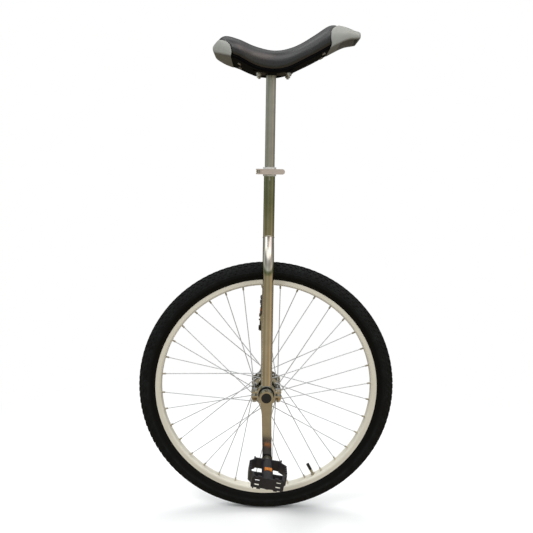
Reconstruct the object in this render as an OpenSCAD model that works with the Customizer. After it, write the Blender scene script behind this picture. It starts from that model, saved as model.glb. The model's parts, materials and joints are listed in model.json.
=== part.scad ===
// Unicycle with a 24-inch wheel, as an assembly of separate pieces.
// +X is the riding direction, +Y is the rider's left and +Z is up.
// The origin is on the ground, straight below the middle of the axle.

/* [Wheel] */
// Radius of the tyre at the tread, which is also the height of the axle
tyre_r = 300; // [297:1:304]
// Number of spokes in each quarter of the lacing pattern
spoke_groups = 9; // [7:1:9]
// Diameter of a spoke
spoke_d = 2; // [1.8:0.1:2.1]
// Width of the rim across its flanges
rim_w = 26; // [25:0.5:28]

/* [Cranks and pedals] */
// Crank length, from the axle to the pedal spindle
crank_len = 150; // [125:5:165]
// How far the right crank is turned forward from straight down, in degrees
crank_turn = 1.5; // [0:0.5:20]
// Tilt of the right pedal on its spindle, in degrees
right_pedal_tilt = 9; // [0:1:90]
// Tilt of the left pedal on its spindle, in degrees
left_pedal_tilt = 93; // [0:1:100]
// Widest fore-and-aft size of a pedal
pedal_w = 83; // [80:1:90]

/* [Frame] */
// Distance of each fork leg from the middle plane
leg_y = 48; // [46:0.5:50]
// Outer diameter of the frame tube and the fork legs
frame_tube_d = 25.4; // [25:0.1:25.8]
// Height of the crown above the axle, where the leg axes meet
crown_h = 355; // [345:1:365]
// Angle of the fork shoulders from upright
shoulder_angle = 45; // [40:1:50]
// Centre-line radius of the bend in each fork leg
leg_bend_r = 75; // [65:1:85]
// Height of the top of the frame tube above the axle
tube_top_h = 515; // [490:1:530]

/* [Saddle] */
// Outer diameter of the seat post
post_d = 22.2; // [22:0.1:22.3]
// Length of the seat post
post_len = 304; // [290:1:320]
// Height of the saddle base above the axle, at the post
saddle_h = 716; // [690:1:730]

/* [Hidden] */
$fn = 64;
eps = 0.01;
RIGHT = -1;
LEFT = 1;

// Wheel
axle_z = tyre_r;
bead_seat_r = 253.5;
rim_inner_r = 247;
rim_flange_r = 260;
rim_wall = 1.5;
tyre_section_r = (tyre_r - bead_seat_r - 1.9) / 2;
tyre_section_c = tyre_r - tyre_section_r;
tyre_wall = 3;
spoke_count = 4 * spoke_groups;
spoke_r = spoke_d / 2;
first_spoke_a = 3.3;
cross_a = 60;
spoke_circle_r = 28.5;
nipple_tip_r = 239;
nipple_head_r = 250.6;
nipple_r = 2;
valve_a = first_spoke_a + 20.5 * 360 / spoke_count;
valve_r = 3.5;
valve_tip_r = 227;
valve_cap_tip_r = 217;

// Hub, axle and bearings
flange_y = 26;
flange_t = 3;
flange_r = 34;
hub_barrel_r = 19;
hub_end_y = 32;
axle_r = 8.5;
axle_end_y = leg_y + 22;
bearing_r = 20;
bearing_half_w = 6;
ball_r = 3.3;
ball_count = 8;
ball_circle_r = 14.25;
groove_r = ball_r + 0.3;
cage_half_w = 4.3;
inner_ring_r = 12.1;
outer_ring_r = 16.4;
seal_t = 0.8;
seal_recess_r = 18.4;

// Bearing seats and caps
seat_wall = 2.6;
seat_half_w = 7;
ear_x = 34.5;
ear_gap = 3;
ear_t = 4;
cap_bolt_x = 27.5;
cap_bolt_r = 3.95;
cap_hex_r = 12 / 2 / cos(30);

// Cranks
boss_r = 16;
boss_y0 = leg_y + 8;
boss_y1 = leg_y + 32;
arm_y0 = boss_y1 - 13;
arm_y1 = boss_y1 - 0.5;
arm_half_w = 10.5;
eye_r = 12.5;
cap_recess_r = 11.6;
cap_recess_y = boss_y1 - 9;
square_y0 = boss_y0 - 0.5;
square_half0 = 6.95;
square_half1 = 6.4;

// Pedals
thread_r = 7.1;
spindle_r = 5.6;
pedal_y0 = boss_y1 + 12;
pedal_y1 = pedal_y0 + 98;
barrel_r = 12.5;
bush_r = 8.9;
rail_h = 23;
rail_t = 4.5;
tooth_h = 2.5;

// Frame tube and fork legs
tube_r = frame_tube_d / 2;
tube_wall = 1.45;
leg_r = tube_r - 0.1;
bend_step = 0.04;
crown_z = axle_z + crown_h;
tube_bottom_z = crown_z - 14;
tube_top_z = axle_z + tube_top_h;
leg_corner_z = crown_z - leg_y / tan(shoulder_angle);
leg_bend_z = leg_corner_z - leg_bend_r * tan(shoulder_angle / 2);
post_r = post_d / 2;
post_gap = 0.08;
slot_w = 3;
slot_len = 27;

// Seat clamp
collar_r = tube_r + 2.2;
collar_h = 20;
collar_z0 = tube_top_z - collar_h;
clamp_x = -24;
clamp_z = collar_z0 + collar_h / 2;
clamp_ear_y = 6.6;
skewer_r = 2.5;
cam_r = 6.6;
cam_offset = 0.8;
cam_pin_y = -17.6;
cam_h = 12;
lever_end_x = 34;
lever_y0 = -20.4;
lever_y1 = -17.2;

// Saddle.  Each station is [x, bottom, top, half width], heights from saddle_z.
saddle_z = axle_z + saddle_h;
stations = [
    [-152, 58, 50, 14], [-127, 42, 58, 40], [-104, 32, 78, 71], [-72, 22, 72.5, 79],
    [-37, 6, 59.5, 66], [0, 0, 52, 54], [31, 4, 55, 51], [62, 18, 66.5, 51], [94, 34, 86, 53],
    [126, 52, 106, 55], [150, 64, 103, 53], [172, 72, 98.5, 47], [190, 76.5, 91.5, 38],
    [210, 81, 84, 26]
];
slices_per_station = 2;
section_points = 28;
slice_t = 0.05;
cover_t = 2.2;
base_t = 5;
cover_x0 = -122;
cover_x1 = 139;
plate_l = 80;
plate_w = 56;
plate_t = 3;
plate_x = 5.5;
saddle_bolt_dx = 32;
saddle_bolt_dy = 22;
saddle_bolt_r = 3;
post_top_z = saddle_z + 3;
pad_h = 4;
bolt_head_r = 6.5;
tongue_t = 2.5;
screw_y = 30;
screw_r = 2;

// ---------- helpers ----------

// A round bar along Y
module rod_y(r, y0, y1) {
    translate([0, y0, 0]) rotate([-90, 0, 0]) cylinder(r = r, h = y1 - y0);
}

// Spins a [radius, y] outline about the Y axis
module spin_y() {
    rotate([-90, 0, 0]) rotate_extrude($fn = 128) children();
}

// Extrudes an [x, z] outline along Y
module slab_y(y0, y1) {
    translate([0, y1, 0]) rotate([90, 0, 0]) linear_extrude(y1 - y0) children();
}

// Puts children at the middle of the axle
module at_axle() {
    translate([0, 0, axle_z]) children();
}

// Repeats children on the right and, mirrored, on the left
module both_sides() {
    for (side = [RIGHT, LEFT]) on_side(side) children();
}

// Children are drawn for the left side and mirrored for the right
module on_side(side) {
    mirror([0, side == RIGHT ? 1 : 0, 0]) children();
}

// Turns children from hanging straight down to the crank's direction
module at_crank(side) {
    turn = side == RIGHT ? -crank_turn : 180 - crank_turn;
    at_axle() rotate([0, turn, 0]) on_side(side) children();
}

// Puts children on the pedal spindle, level with the ground
module at_pedal(side) {
    turn = side == RIGHT ? -crank_turn : 180 - crank_turn;
    at_axle() rotate([0, turn, 0]) translate([0, 0, -crank_len]) rotate([0, -turn, 0])
        on_side(side) children();
}

// ---------- frame ----------

module frame_tube() {
    color("#b9b7a8") difference() {
        translate([0, 0, tube_bottom_z]) cylinder(r = tube_r, h = tube_top_z - tube_bottom_z);
        translate([0, 0, tube_bottom_z - 1]) cylinder(r = post_r + post_gap, h = 400);
        translate([-slot_w / 2, -20, tube_top_z - slot_len]) cube([slot_w, 20, slot_len + 1]);
        translate([0, 0, tube_top_z - slot_len]) rod_y(2.6, -20, 0);
    }
}

// A bent tube of radius r, from its upright foot to past the middle plane.
// The bend is a hair fatter than the straight tubes that it joins.
module leg_path(r) {
    slope_y = leg_y - leg_bend_r + leg_bend_r * cos(shoulder_angle);
    slope_z = leg_bend_z + leg_bend_r * sin(shoulder_angle);
    translate([0, leg_y, axle_z + 10]) cylinder(r = r, h = leg_bend_z - axle_z - 10);
    translate([0, leg_y - leg_bend_r, leg_bend_z]) rotate(120, [1, 1, 1])
        rotate_extrude(angle = shoulder_angle) translate([leg_bend_r, 0]) circle(r = r + bend_step);
    translate([0, slope_y, slope_z]) rotate([shoulder_angle, 0, 0])
        cylinder(r = r, h = slope_y / sin(shoulder_angle) + 20);
}

module leg() {
    color("#b9b7a8") difference() {
        leg_path(leg_r);
        leg_path(leg_r - tube_wall);
        translate([-50, -100, axle_z]) cube([100, 100, 500]);
        translate([0, 0, tube_bottom_z]) cylinder(r = tube_r, h = 100);
        at_axle() rod_y(bearing_r + seat_wall, 0, 100);
    }
}

module right_leg() {
    on_side(RIGHT) leg();
}

module left_leg() {
    on_side(LEFT) leg();
}

// Half of a bearing holder: an arch with a bolted ear at each end
module bearing_half(arch_color) {
    color(arch_color) difference() {
        slab_y(leg_y - seat_half_w, leg_y + seat_half_w) difference() {
            union() {
                circle(r = bearing_r + seat_wall);
                translate([-ear_x, ear_gap]) square([2 * ear_x, ear_t]);
            }
            circle(r = bearing_r);
            translate([-50, -50]) square([100, 50 + ear_gap]);
        }
        for (x = [-cap_bolt_x, cap_bolt_x]) translate([x, leg_y, 0]) cylinder(r = 4.1, h = 20);
    }
}

module right_bearing_seat() {
    at_axle() on_side(RIGHT) bearing_half("#b9b7a8");
}

module left_bearing_seat() {
    at_axle() on_side(LEFT) bearing_half("#b9b7a8");
}

module right_bearing_cap() {
    at_axle() on_side(RIGHT) mirror([0, 0, 1]) bearing_half("#a9a795");
}

module left_bearing_cap() {
    at_axle() on_side(LEFT) mirror([0, 0, 1]) bearing_half("#a9a795");
}

// Puts children at each bolt through the bearing holders
module at_cap_bolts() {
    at_axle() for (x = [-cap_bolt_x, cap_bolt_x], y = [-leg_y, leg_y])
        translate([x, y, 0]) children();
}

module cap_bolts() {
    color("silver") at_cap_bolts() {
        translate([0, 0, ear_gap + ear_t]) rotate(30) cylinder(r = cap_hex_r, h = 5.3, $fn = 6);
        translate([0, 0, -19]) cylinder(r = cap_bolt_r, h = 19 + ear_gap + ear_t);
    }
}

module cap_nuts() {
    nut_h = 6.5;
    color("#8c7c5a") at_cap_bolts() translate([0, 0, -ear_gap - ear_t - nut_h]) difference() {
        rotate(30) cylinder(r = cap_hex_r, h = nut_h, $fn = 6);
        translate([0, 0, -1]) cylinder(r = cap_bolt_r + 0.05, h = nut_h + 2);
    }
}

// ---------- bearings ----------

module bearing_outer_rings() {
    color("silver") at_axle() both_sides() translate([0, leg_y, 0]) spin_y() difference() {
        translate([outer_ring_r, -bearing_half_w])
            square([bearing_r - outer_ring_r, 2 * bearing_half_w]);
        for (y = [-bearing_half_w - 1, bearing_half_w - 1.1])
            translate([outer_ring_r - 1, y]) square([seal_recess_r - outer_ring_r + 1, 2.1]);
        translate([ball_circle_r, 0]) circle(r = groove_r);
    }
}

module bearing_inner_rings() {
    color("silver") at_axle() both_sides() translate([0, leg_y, 0]) spin_y() difference() {
        translate([axle_r, -bearing_half_w]) square([inner_ring_r - axle_r, 2 * bearing_half_w]);
        translate([ball_circle_r, 0]) circle(r = groove_r);
    }
}

module bearing_seals() {
    seal_r0 = inner_ring_r + 0.25;
    seal_y = bearing_half_w - 0.2 - seal_t;
    color("#151515") at_axle() both_sides() translate([0, leg_y, 0]) spin_y()
        for (y = [-seal_y - seal_t, seal_y])
            translate([seal_r0, y]) square([seal_recess_r - seal_r0, seal_t]);
}

// Puts children on the ball circle of one bearing, once for each ball
module at_balls(side) {
    at_axle() on_side(side) translate([0, leg_y, 0])
        for (i = [0 : ball_count - 1]) rotate([0, i * 360 / ball_count, 0])
            translate([ball_circle_r, 0, 0]) children();
}

module bearing_cage(side) {
    color("#9a9a9a") difference() {
        at_axle() on_side(side) translate([0, leg_y, 0]) spin_y()
            translate([ball_circle_r - 1, -cage_half_w]) square([2, 2 * cage_half_w]);
        at_balls(side) rotate([0, 90, 0]) cylinder(r = ball_r + 0.15, h = 8, center = true);
    }
}

module right_bearing_balls() {
    color("silver") at_balls(RIGHT) sphere(r = ball_r);
}

module left_bearing_balls() {
    color("silver") at_balls(LEFT) sphere(r = ball_r);
}

module right_bearing_cage() {
    bearing_cage(RIGHT);
}

module left_bearing_cage() {
    bearing_cage(LEFT);
}

// ---------- wheel ----------

module tyre() {
    color("#1b1c1c") at_axle() spin_y() {
        difference() {
            translate([tyre_section_c, 0]) circle(r = tyre_section_r);
            translate([tyre_section_c, 0]) circle(r = tyre_section_r - tyre_wall);
            translate([rim_inner_r, -40]) square([rim_flange_r + 0.2 - rim_inner_r, 80]);
        }
        for (side = [RIGHT, LEFT]) scale([1, side]) tyre_bead();
    }
}

// The part of the tyre's section that sits inside the rim flange
module tyre_bead() {
    bead_y = rim_w / 2 - rim_wall - 0.1;
    translate([bead_seat_r + 0.3, bead_y - 4]) square([rim_flange_r - bead_seat_r, 4]);
}

module inner_tube() {
    tube_section_r = tyre_section_r - tyre_wall - 0.4;
    color("#222222") at_axle() difference() {
        spin_y() translate([tyre_section_c, 0]) difference() {
            circle(r = tube_section_r);
            circle(r = tube_section_r - 1.2);
        }
        at_valve() cylinder(r = valve_r + 1.5, h = tyre_section_c - 12);
    }
}

module rim_tape() {
    color("#3a6fb0") at_axle() difference() {
        spin_y() translate([rim_inner_r + 5.9, -5.8]) square([0.6, 11.6]);
        at_valve() cylinder(r = valve_r + 1, h = 280);
    }
}

module rim() {
    half_w = rim_w / 2;
    color("#c9c6b4") at_axle() difference() {
        spin_y() rim_section(half_w);
        for (i = [0 : spoke_count - 1]) at_nipple(i) cylinder(r = nipple_r + 0.25, h = 20);
        at_valve() cylinder(r = valve_r + 0.3, h = 280);
    }
}

// Half-closed steel section: flat sides, a bead ledge and a well for the spokes
module rim_section(half_w) {
    well = rim_inner_r + 3;
    polygon([
        [rim_inner_r, -half_w + 3.5], [rim_inner_r + 1, -half_w + 1.5], [rim_inner_r + 4, -half_w],
        [rim_flange_r, -half_w], [rim_flange_r, -half_w + rim_wall],
        [bead_seat_r, -half_w + rim_wall], [bead_seat_r - 0.8, -half_w + 4.5], [well, -4.5],
        [well, 4.5], [bead_seat_r - 0.8, half_w - 4.5], [bead_seat_r, half_w - rim_wall],
        [rim_flange_r, half_w - rim_wall], [rim_flange_r, half_w],
        [rim_inner_r + 4, half_w], [rim_inner_r + 1, half_w - 1.5], [rim_inner_r, half_w - 3.5]
    ]);
}

// Angles are measured from straight up, turning towards the back
function wheel_point(a, r, y) = [-r * sin(a), y, r * cos(a)];

// Spokes go round the rim in fours: right and left, trailing and leading
function spoke_a(i) = first_spoke_a + i * 360 / spoke_count;
function spoke_kind(i) = (i + 3) % 4;
function spoke_side(i) = spoke_kind(i) % 2 == 0 ? RIGHT : LEFT;
function is_outer(i) = spoke_kind(i) < 2;
function hub_a(i) = spoke_a(i) + (is_outer(i) ? cross_a : -cross_a);
function rim_end(i) = wheel_point(spoke_a(i), nipple_head_r, spoke_side(i) * 1.2);
function spoke_lift() = flange_t / 2 + spoke_r + 0.1;
function elbow(i) = wheel_point(hub_a(i), spoke_circle_r,
    spoke_side(i) * (flange_y + (is_outer(i) ? 1 : -1) * spoke_lift()));
// An outer spoke lies along the flange's face before it turns in to the rim
function kink(i) = let (start = elbow(i), run = rim_end(i) - start)
    start + [run[0], 0, run[2]] * 18 / norm(run);
function unit(v) = v / norm(v);

// A round bar between two points
module bar(p, q, r) {
    d = q - p;
    translate(p) rotate([0, acos(d[2] / norm(d)), atan2(d[1], d[0])])
        cylinder(r = r, h = norm(d), $fn = 24);
}

// Puts children at the tip of a nipple, with Z pointing out to the rim
module at_nipple(i) {
    start = is_outer(i) ? kink(i) : elbow(i);
    d = unit(rim_end(i) - start);
    tip = rim_end(i) - d * (nipple_head_r - nipple_tip_r);
    translate(tip) rotate([0, acos(d[2]), atan2(d[1], d[0])]) children();
}

// A ball that rounds a bend in a spoke, its poles and its seam turned away from the wire
module spoke_bend(p, run, seam_dir) {
    translate(p) rotate([0, acos(run[0]) * (run[2] < 0 ? 1 : -1), 0])
        rotate([0, 0, 90 * seam_dir]) sphere(r = spoke_r + 0.2, $fn = 24);
}

module spoke(i) {
    head_y = spoke_side(i) * (flange_y - (is_outer(i) ? 1 : -1) * (flange_t / 2 + 0.1));
    head_dir = spoke_side(i) * (is_outer(i) ? -1 : 1);
    e = elbow(i);
    start = is_outer(i) ? kink(i) : e;
    run = unit([rim_end(i)[0] - e[0], 0, rim_end(i)[2] - e[2]]);
    stop = rim_end(i) - unit(rim_end(i) - start) * 4;
    bar([e[0], head_y + head_dir, e[2]], e, spoke_r);
    spoke_bend(e, run, -head_dir);
    if (is_outer(i)) {
        bar(e, start, spoke_r);
        spoke_bend(start, run, -head_dir);
    }
    bar(start, stop, spoke_r);
    bar([e[0], head_y, e[2]], [e[0], head_y + 1.2 * head_dir, e[2]], 1.9);
}

module spokes() {
    color("#c4c6c6") at_axle() for (i = [0 : spoke_count - 1]) spoke(i);
}

module spoke_nipples() {
    color("#d8d6cc") at_axle() for (i = [0 : spoke_count - 1]) at_nipple(i) difference() {
        union() {
            cylinder(r = nipple_r, h = nipple_head_r - nipple_tip_r, $fn = 24);
            translate([0, 0, nipple_head_r - nipple_tip_r]) cylinder(r = 3.2, h = 1.6, $fn = 24);
        }
        translate([0, 0, -1]) cylinder(r = spoke_r + 0.05, h = 20, $fn = 24);
    }
}

module hub_shell() {
    color("#c9cac6") at_axle() difference() {
        spin_y() difference() {
            union() {
                translate([0, -hub_end_y]) square([hub_barrel_r - 2, 2 * hub_end_y]);
                translate([0, -flange_y]) square([hub_barrel_r, 2 * flange_y]);
                for (y = [-flange_y, flange_y])
                    translate([0, y - flange_t / 2]) square([flange_r, flange_t]);
            }
            translate([-1, -50]) square([axle_r + 1, 100]);
        }
        for (i = [0 : spoke_count - 1]) hub_hole(i);
    }
}

module hub_hole(i) {
    e = elbow(i);
    y = spoke_side(i) * flange_y;
    translate([e[0], y - 4, e[2]]) rotate([-90, 0, 0]) cylinder(r = spoke_r + 0.3, h = 8, $fn = 24);
}

module axle() {
    color("#a8a8a4") at_axle() rotate([0, -crank_turn, 0]) difference() {
        union() {
            rod_y(axle_r, -square_y0, square_y0);
            both_sides() {
                rod_y(axle_r + 2, hub_end_y, leg_y - bearing_half_w);
                square_end(square_y0, axle_end_y, 0);
            }
        }
        both_sides() rod_y(4.05, axle_end_y - 24, axle_end_y + 1);
    }
}

// The tapered square that a crank is drawn on to
module square_end(y0, y1, gap) {
    slope = (square_half0 - square_half1) / (axle_end_y - square_y0);
    half0 = square_half0 + gap;
    half1 = square_half0 + gap - slope * (y1 - y0);
    intersection() {
        linear_extrude(40, center = true) taper_outline(y0, y1, half0, half1);
        rotate([0, 90, 0]) linear_extrude(40, center = true) taper_outline(y0, y1, half0, half1);
    }
}

module taper_outline(y0, y1, half0, half1) {
    polygon([[-half0, y0], [half0, y0], [half1, y1], [-half1, y1]]);
}

// Puts children on the valve's axis, with Z pointing out to the rim
module at_valve() {
    d = wheel_point(valve_a, 1, 0);
    rotate([0, acos(d[2]), atan2(d[1], d[0])]) children();
}

module valve_stem() {
    nut_r0 = rim_inner_r - 2.4;
    color("#b5b4ac") at_axle() at_valve() {
        translate([0, 0, valve_tip_r + 6])
            cylinder(r = valve_r, h = tyre_section_c - 17 - valve_tip_r - 6);
        translate([0, 0, valve_tip_r]) cylinder(r = valve_r - 1, h = 7);
        translate([0, 0, nut_r0]) difference() {
            cylinder(r = valve_r + 1.6, h = 1.9);
            translate([0, 0, -1]) cylinder(r = valve_r - 0.5, h = 4);
        }
    }
}

module valve_cap() {
    color("#161616") at_axle() at_valve() difference() {
        translate([0, 0, valve_cap_tip_r]) cylinder(r = valve_r + 0.2, h = 15.5);
        translate([0, 0, valve_tip_r - 0.5]) cylinder(r = valve_r - 0.9, h = 7);
    }
}

// ---------- cranks ----------

module crank() {
    color("#b9b7a8") difference() {
        union() {
            rod_y(boss_r, boss_y0, boss_y1);
            slab_y(arm_y0, arm_y1) {
                polygon([
                    [-boss_r + 1, -5], [-arm_half_w - 0.5, -38], [-arm_half_w, -crank_len],
                    [arm_half_w, -crank_len], [arm_half_w + 0.5, -38], [boss_r - 1, -5]
                ]);
                translate([0, -crank_len]) circle(r = eye_r);
            }
        }
        square_end(square_y0, axle_end_y + 2, 0.02);
        rod_y(cap_recess_r, cap_recess_y, boss_y1 + 1);
        translate([0, 0, -crank_len]) rod_y(thread_r + 0.05, arm_y0 - 1, arm_y1 + 1);
    }
}

module right_crank() {
    at_crank(RIGHT) crank();
}

module left_crank() {
    at_crank(LEFT) crank();
}

module crank_bolts() {
    color("#8a8a86") at_axle() both_sides() {
        rod_y(4, axle_end_y - 20, cap_recess_y + 0.1);
        translate([0, cap_recess_y, 0]) rotate([-90, 0, 0]) cylinder(r = 8, h = 5.5, $fn = 6);
    }
}

module dust_caps() {
    color("#111113") at_axle() both_sides() difference() {
        rod_y(cap_recess_r - 0.05, boss_y1 - 3, boss_y1 + 0.4);
        rod_y(cap_recess_r - 2, boss_y1 - 4, boss_y1 - 1);
    }
}

// ---------- pedals ----------

module pedal_spindle() {
    color("#8f8f8a") {
        rod_y(thread_r, arm_y0 + 1, arm_y1 + 0.5);
        rod_y(thread_r + 1.6, arm_y1 + 0.2, arm_y1 + 6);
        rod_y(spindle_r, arm_y1 + 6, pedal_y1 - 8);
    }
}

module right_pedal_spindle() {
    at_pedal(RIGHT) pedal_spindle();
}

module left_pedal_spindle() {
    at_pedal(LEFT) pedal_spindle();
}

module pedal_locknuts() {
    color("#8f8f8a") for (side = [RIGHT, LEFT]) at_pedal(side) difference() {
        translate([0, pedal_y1 - 15, 0]) rotate([-90, 0, 0]) cylinder(r = 7.4, h = 5, $fn = 6);
        rod_y(spindle_r + 0.02, pedal_y1 - 20, pedal_y1);
    }
}

// Turns a pedal's own pieces to the tilt that the pedal rests at
module tilted(side) {
    at_pedal(side) rotate([0, side == RIGHT ? right_pedal_tilt : left_pedal_tilt, 0]) children();
}

// Half of the cage's plan, from the barrel out to the stepped rail
module rail_plan(w) {
    half_w = pedal_w / 2 - w;
    inner_w = half_w - 10;
    outer_w = half_w - 6.5;
    polygon([
        [0, pedal_y0 + w], [inner_w, pedal_y0 + w], [inner_w, pedal_y0 + 9],
        [half_w, pedal_y0 + 20], [half_w, pedal_y1 - 30], [outer_w, pedal_y1 - 20],
        [outer_w, pedal_y1 - w], [0, pedal_y1 - w]
    ]);
}

module pedal_teeth() {
    tooth_z = rail_h / 2 - eps;
    for (x = [-1, 1], z = [-1, 1]) scale([x, 1, z]) {
        for (y = [pedal_y0 + 26 : 10 : pedal_y1 - 34])
            translate([pedal_w / 2 - rail_t, y, tooth_z]) cube([rail_t, 5, tooth_h]);
        for (y = [pedal_y0, pedal_y1 - 5])
            translate([pedal_w / 2 - 13, y, tooth_z]) cube([3, 5, tooth_h]);
        translate([14, pedal_y1 - 5, tooth_z]) cube([8, 5, tooth_h]);
    }
}

module pedal_body() {
    color("#1c1b1e") difference() {
        union() {
            for (x = [0, 1]) mirror([x, 0, 0]) {
                linear_extrude(rail_h, center = true) difference() {
                    rail_plan(0);
                    rail_plan(rail_t);
                }
                translate([8, pedal_y1 - 34, -8]) cube([pedal_w / 2 - 11, 4, 16]);
            }
            rod_y(barrel_r, pedal_y0, pedal_y1);
            pedal_teeth();
        }
        rod_y(bush_r + 0.02, pedal_y0 - 1, pedal_y1 - 7);
        rod_y(barrel_r - 1.2, pedal_y1 - 7.01, pedal_y1 + 1);
        for (z = [-1, 1]) scale([1, 1, z])
            translate([-8.2, pedal_y1 - 52.2, 9.5]) cube([16.4, 12.4, 9]);
        for (x = [-1, 1], z = [-1, 1]) scale([x, 1, z])
            translate([18, pedal_y1 - 10, 3]) cube([10, 12, 4.5]);
    }
}

module right_pedal_body() {
    tilted(RIGHT) pedal_body();
}

module left_pedal_body() {
    tilted(LEFT) pedal_body();
}

module pedal_end_cap() {
    color("#101012") difference() {
        rod_y(barrel_r - 1.25, pedal_y1 - 6.8, pedal_y1 + 0.6);
        rod_y(barrel_r - 3.2, pedal_y1 - 7.5, pedal_y1 - 2);
    }
}

module right_pedal_end_cap() {
    tilted(RIGHT) pedal_end_cap();
}

module left_pedal_end_cap() {
    tilted(LEFT) pedal_end_cap();
}

module pedal_reflectors() {
    color("#f08a18") for (z = [-1, 1]) scale([1, 1, z])
        translate([-8, pedal_y1 - 52, 9.6]) cube([16, 12, 3.6]);
}

module right_pedal_reflectors() {
    tilted(RIGHT) pedal_reflectors();
}

module left_pedal_reflectors() {
    tilted(LEFT) pedal_reflectors();
}

module pedal_bushes() {
    color("#d8d2c0") for (y = [pedal_y0 + 2, pedal_y1 - 27]) difference() {
        rod_y(bush_r, y, y + 10);
        rod_y(spindle_r + 0.06, y - 1, y + 11);
    }
}

module right_pedal_bushes() {
    tilted(RIGHT) pedal_bushes();
}

module left_pedal_bushes() {
    tilted(LEFT) pedal_bushes();
}

// ---------- seat clamp ----------

module clamp_collar() {
    color("#c9cac8") difference() {
        union() {
            translate([0, 0, collar_z0]) cylinder(r = collar_r, h = collar_h);
            for (y = [-clamp_ear_y, 1.4])
                translate([clamp_x, y, clamp_z - 6]) cube([-clamp_x - 8, clamp_ear_y - 1.4, 12]);
            for (y = [-clamp_ear_y, 1.4])
                translate([clamp_x, 0, clamp_z]) rod_y(6, y, y + clamp_ear_y - 1.4);
        }
        translate([0, 0, collar_z0 - 1]) cylinder(r = tube_r + 0.02, h = collar_h + 2);
        translate([-40, -1.4, collar_z0 - 1]) cube([36, 2.8, collar_h + 2]);
        translate([clamp_x, 0, clamp_z]) rod_y(skewer_r + 0.2, -20, 20);
    }
}

module clamp_washer() {
    color("#b79a5a") translate([clamp_x, 0, clamp_z]) difference() {
        rod_y(5.6, -clamp_ear_y - 3.2, -clamp_ear_y);
        rod_y(skewer_r + 0.2, -20, 0);
    }
}

module clamp_skewer() {
    color("silver") translate([clamp_x, 0, clamp_z]) {
        difference() {
            union() {
                rod_y(skewer_r, cam_pin_y, 19);
                translate([0, cam_pin_y, -2.8]) cylinder(r = 3.4, h = 5.6);
            }
            translate([0, cam_pin_y, -5]) cylinder(r = 1.55, h = 10);
        }
    }
}

module clamp_pivot_pin() {
    color("#70706c") translate([clamp_x, cam_pin_y, clamp_z - cam_h / 2])
        cylinder(r = 1.5, h = cam_h);
}

module clamp_lever() {
    cam_y = cam_pin_y + cam_offset;
    color("#d2d3d1") difference() {
        union() {
            translate([clamp_x, cam_y, clamp_z - cam_h / 2]) cylinder(r = cam_r, h = cam_h);
            translate([clamp_x, lever_y0, clamp_z - cam_h / 2])
                cube([lever_end_x - clamp_x - 4, lever_y1 - lever_y0, cam_h]);
            translate([lever_end_x - 6, 0, clamp_z]) rod_y(cam_h / 2, lever_y0, lever_y1);
        }
        translate([clamp_x, cam_pin_y, clamp_z - 10]) cylinder(r = 1.56, h = 20);
        translate([clamp_x - 10, cam_pin_y - 10, clamp_z - 3.2])
            cube([10 + skewer_r + 0.3, 20, 6.4]);
        translate([clamp_x, cam_pin_y, clamp_z - 3.2]) cylinder(r = 3.9, h = 6.4);
    }
}

module clamp_nut() {
    color("#c2c2be") translate([clamp_x, 0, clamp_z]) difference() {
        union() {
            rod_y(6, clamp_ear_y + 0.3, clamp_ear_y + 9);
            for (a = [0 : 30 : 330]) rotate([0, a, 0]) translate([5.8, 0, 0])
                rod_y(0.8, clamp_ear_y + 1.5, clamp_ear_y + 8.5);
        }
        rod_y(skewer_r + 0.05, 0, 40);
    }
}

// ---------- seat post ----------

module seat_post() {
    color("#a8aaa6") difference() {
        translate([0, 0, post_top_z - post_len]) cylinder(r = post_r, h = post_len);
        translate([0, 0, post_top_z - post_len - 1]) cylinder(r = post_r - 1.6, h = post_len + 2);
    }
}

// Plate on top of the post, with the ring of weld that joins them
module post_bracket() {
    color("#1b1b1c") difference() {
        union() {
            translate([plate_x - plate_l / 2, -plate_w / 2, post_top_z])
                cube([plate_l, plate_w, plate_t]);
            difference() {
                translate([0, 0, post_top_z - 4]) cylinder(r = post_r + 1.4, h = 4);
                translate([0, 0, post_top_z - 5]) cylinder(r = post_r + 0.02, h = 5);
            }
        }
        at_saddle_bolts() cylinder(r = saddle_bolt_r + 0.2, h = 60, center = true);
    }
}

module at_saddle_bolts() {
    for (x = [-saddle_bolt_dx, saddle_bolt_dx], y = [-saddle_bolt_dy, saddle_bolt_dy])
        translate([plate_x + x, y, post_top_z]) children();
}

module saddle_bolts() {
    color("silver") at_saddle_bolts() {
        translate([0, 0, -8]) cylinder(r = saddle_bolt_r, h = 8 + plate_t + pad_h + 0.1);
        translate([0, 0, plate_t + pad_h]) cylinder(r = bolt_head_r, h = 3);
    }
}

module saddle_nuts() {
    nut_h = 5.2;
    color("silver") at_saddle_bolts() translate([0, 0, -nut_h]) difference() {
        cylinder(r = 10 / 2 / cos(30), h = nut_h, $fn = 6);
        translate([0, 0, -1]) cylinder(r = saddle_bolt_r + 0.05, h = nut_h + 2);
    }
}

// ---------- saddle ----------

// Smooth curve through four neighbouring stations, at t between the middle two
function between(a, b, c, d, t) = 0.5 * (2 * b + (c - a) * t
    + (2 * a - 5 * b + 4 * c - d) * t * t + (3 * b - a - 3 * c + d) * t * t * t);
function station(s) = let (i = floor(s), t = s - i)
    between(stations[i - 1], stations[i], stations[i + 1], stations[i + 2], t);
last_s = len(stations) - 3;
slices = [for (s = [1 : 1 / slices_per_station : last_s]) station(s),
    stations[len(stations) - 2]];

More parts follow.
